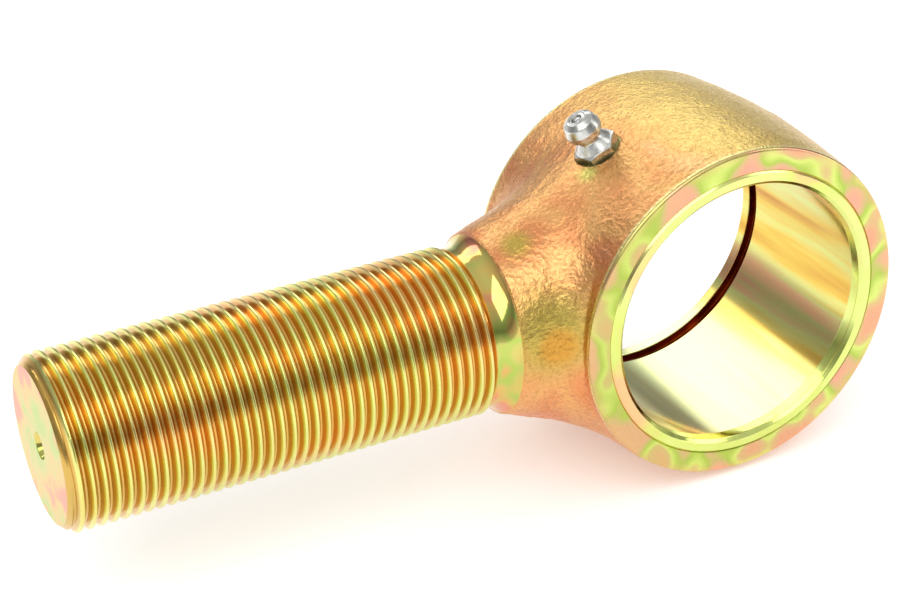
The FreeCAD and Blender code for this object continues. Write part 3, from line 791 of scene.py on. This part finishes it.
def zinc_material():
    material, tree, shader = new_material("bright_zinc", Metallic=1.0)
    base = ramp_of(tree, grain(tree, 420.0, 2.0), [(0.35, tint(178, 178, 172)), (0.65, tint(226, 226, 222))])
    tree.links.new(base, shader.inputs["Base Color"])
    tree.links.new(remap(tree, grain(tree, 1100.0), 0.3, 0.7, 0.2, 0.34), shader.inputs["Roughness"])
    bump(tree, shader, grain(tree, 1800.0, 2.0), 0.012 * MM, 0.4)
    return material


HEX_FLAT, HEX_HEIGHT, COLLAR_RADIUS = 3.5 * MM, 2.5 * MM, 3.3 * MM
HEX_TURN, HEX_BEVEL = math.radians(18), math.radians(30)
HEX_CROWN, HEX_FOOT = HEX_FLAT * 0.97, 0.15 * MM
WAIST_RADIUS, HEAD_RADIUS, CHAMBER_RADIUS = 2.15 * MM, 3.25 * MM, 1.5 * MM
MOUTH_RADIUS, CHAMBER_FLOOR, STEM_LENGTH = 0.95 * MM, 2.2 * MM, 4.0 * MM
HEAD_TOP = Vector(mounts["grease_coupler"]["pos_m"]).length - SEAT_REACH
HEX_COLUMNS = 96


def hexagon_ring(mesh, height_of, radius_of):
    ring = []
    for column in range(HEX_COLUMNS):
        a = math.tau * column / HEX_COLUMNS
        reach = HEX_FLAT / math.cos((a % (math.tau / 6)) - math.tau / 12)
        r = radius_of(reach)
        ring.append(mesh.verts.new((height_of(reach), r * math.cos(a), r * math.sin(a))))
    return ring


zinc = zinc_material()
nipple_mesh = bmesh.new()
rings = [hexagon_ring(nipple_mesh, lambda r: 0.0, lambda r: STEM_RADIUS),
         hexagon_ring(nipple_mesh, lambda r: 0.0, lambda r: r - HEX_FOOT),
         hexagon_ring(nipple_mesh, lambda r: HEX_FOOT, lambda r: r),
         hexagon_ring(nipple_mesh, lambda r: HEX_HEIGHT - (r - HEX_CROWN) * math.tan(HEX_BEVEL),
                      lambda r: r),
         hexagon_ring(nipple_mesh, lambda r: HEX_HEIGHT, lambda r: HEX_CROWN),
         hexagon_ring(nipple_mesh, lambda r: HEX_HEIGHT, lambda r: COLLAR_RADIUS)]
for one, two in zip(rings, rings[1:]):
    for column in range(HEX_COLUMNS):
        after = (column + 1) % HEX_COLUMNS
        nipple_mesh.faces.new((one[column], one[after], two[after], two[column]))
head_profile = rounded([(HEX_HEIGHT, COLLAR_RADIUS, 0), (4.1 * MM, WAIST_RADIUS, 0.4 * MM),
                        (4.7 * MM, WAIST_RADIUS, 0.25 * MM), (5.6 * MM, HEAD_RADIUS, 0.45 * MM),
                        (6.6 * MM, HEAD_RADIUS, 0.5 * MM), (8.1 * MM, 2.75 * MM, 0.6 * MM),
                        (HEAD_TOP, 1.75 * MM, 0.2 * MM), (HEAD_TOP - 0.12 * MM, 1.5 * MM, 0.1 * MM),
                        (HEAD_TOP, MOUTH_RADIUS, 0.1 * MM), (HEAD_TOP - 0.5 * MM, MOUTH_RADIUS, 0),
                        (7.75 * MM, CHAMBER_RADIUS, 0), (CHAMBER_FLOOR, CHAMBER_RADIUS, 0),
                        (CHAMBER_FLOOR, PASSAGE_RADIUS, 0), (-STEM_LENGTH, PASSAGE_RADIUS, 0),
                        (-STEM_LENGTH, 2.4 * MM, 0), (-3.6 * MM, 2.98 * MM, 0),
                        (0, 2.98 * MM, 0), (0, STEM_RADIUS, 0)], steps=6, hold=0.05 * MM)
lathe(nipple_mesh, [tuple(q) for q in head_profile], "X", HEX_COLUMNS, lambda x, r: 0)
bmesh.ops.remove_doubles(nipple_mesh, verts=nipple_mesh.verts, dist=WELD)
bmesh.ops.rotate(nipple_mesh, verts=nipple_mesh.verts, matrix=Matrix.Rotation(HEX_TURN, 3, "X"))
onto_nipple(nipple_mesh, SEAT_REACH)
nipple = finish_mesh(nipple_mesh, "grease_nipple", [zinc], sharp=25.0)
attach(nipple, "rod_end")
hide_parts("grease_nipple_body")


# --- Check ball and spring ----------------------------------------------------------------
# A polished steel ball that closes the nipple's mouth, and the small coil spring under it.

def bright_material(name, low, high):
    material, tree, shader = new_material(name, Metallic=1.0)
    base = ramp_of(tree, grain(tree, 900.0, 2.0), [(0.35, low), (0.65, high)])
    tree.links.new(base, shader.inputs["Base Color"])
    tree.links.new(remap(tree, grain(tree, 1500.0), 0.3, 0.7, 0.08, 0.16), shader.inputs["Roughness"])
    return material


for node_name, low, high in (("nipple_check_ball", tint(190, 190, 192), tint(222, 222, 224)),
                             ("nipple_ball_spring", tint(150, 148, 146), tint(190, 188, 186))):
    node = frame["nodes"][node_name]
    node.data.materials.clear()
    node.data.materials.append(bright_material(f"{node_name}_steel", low, high))
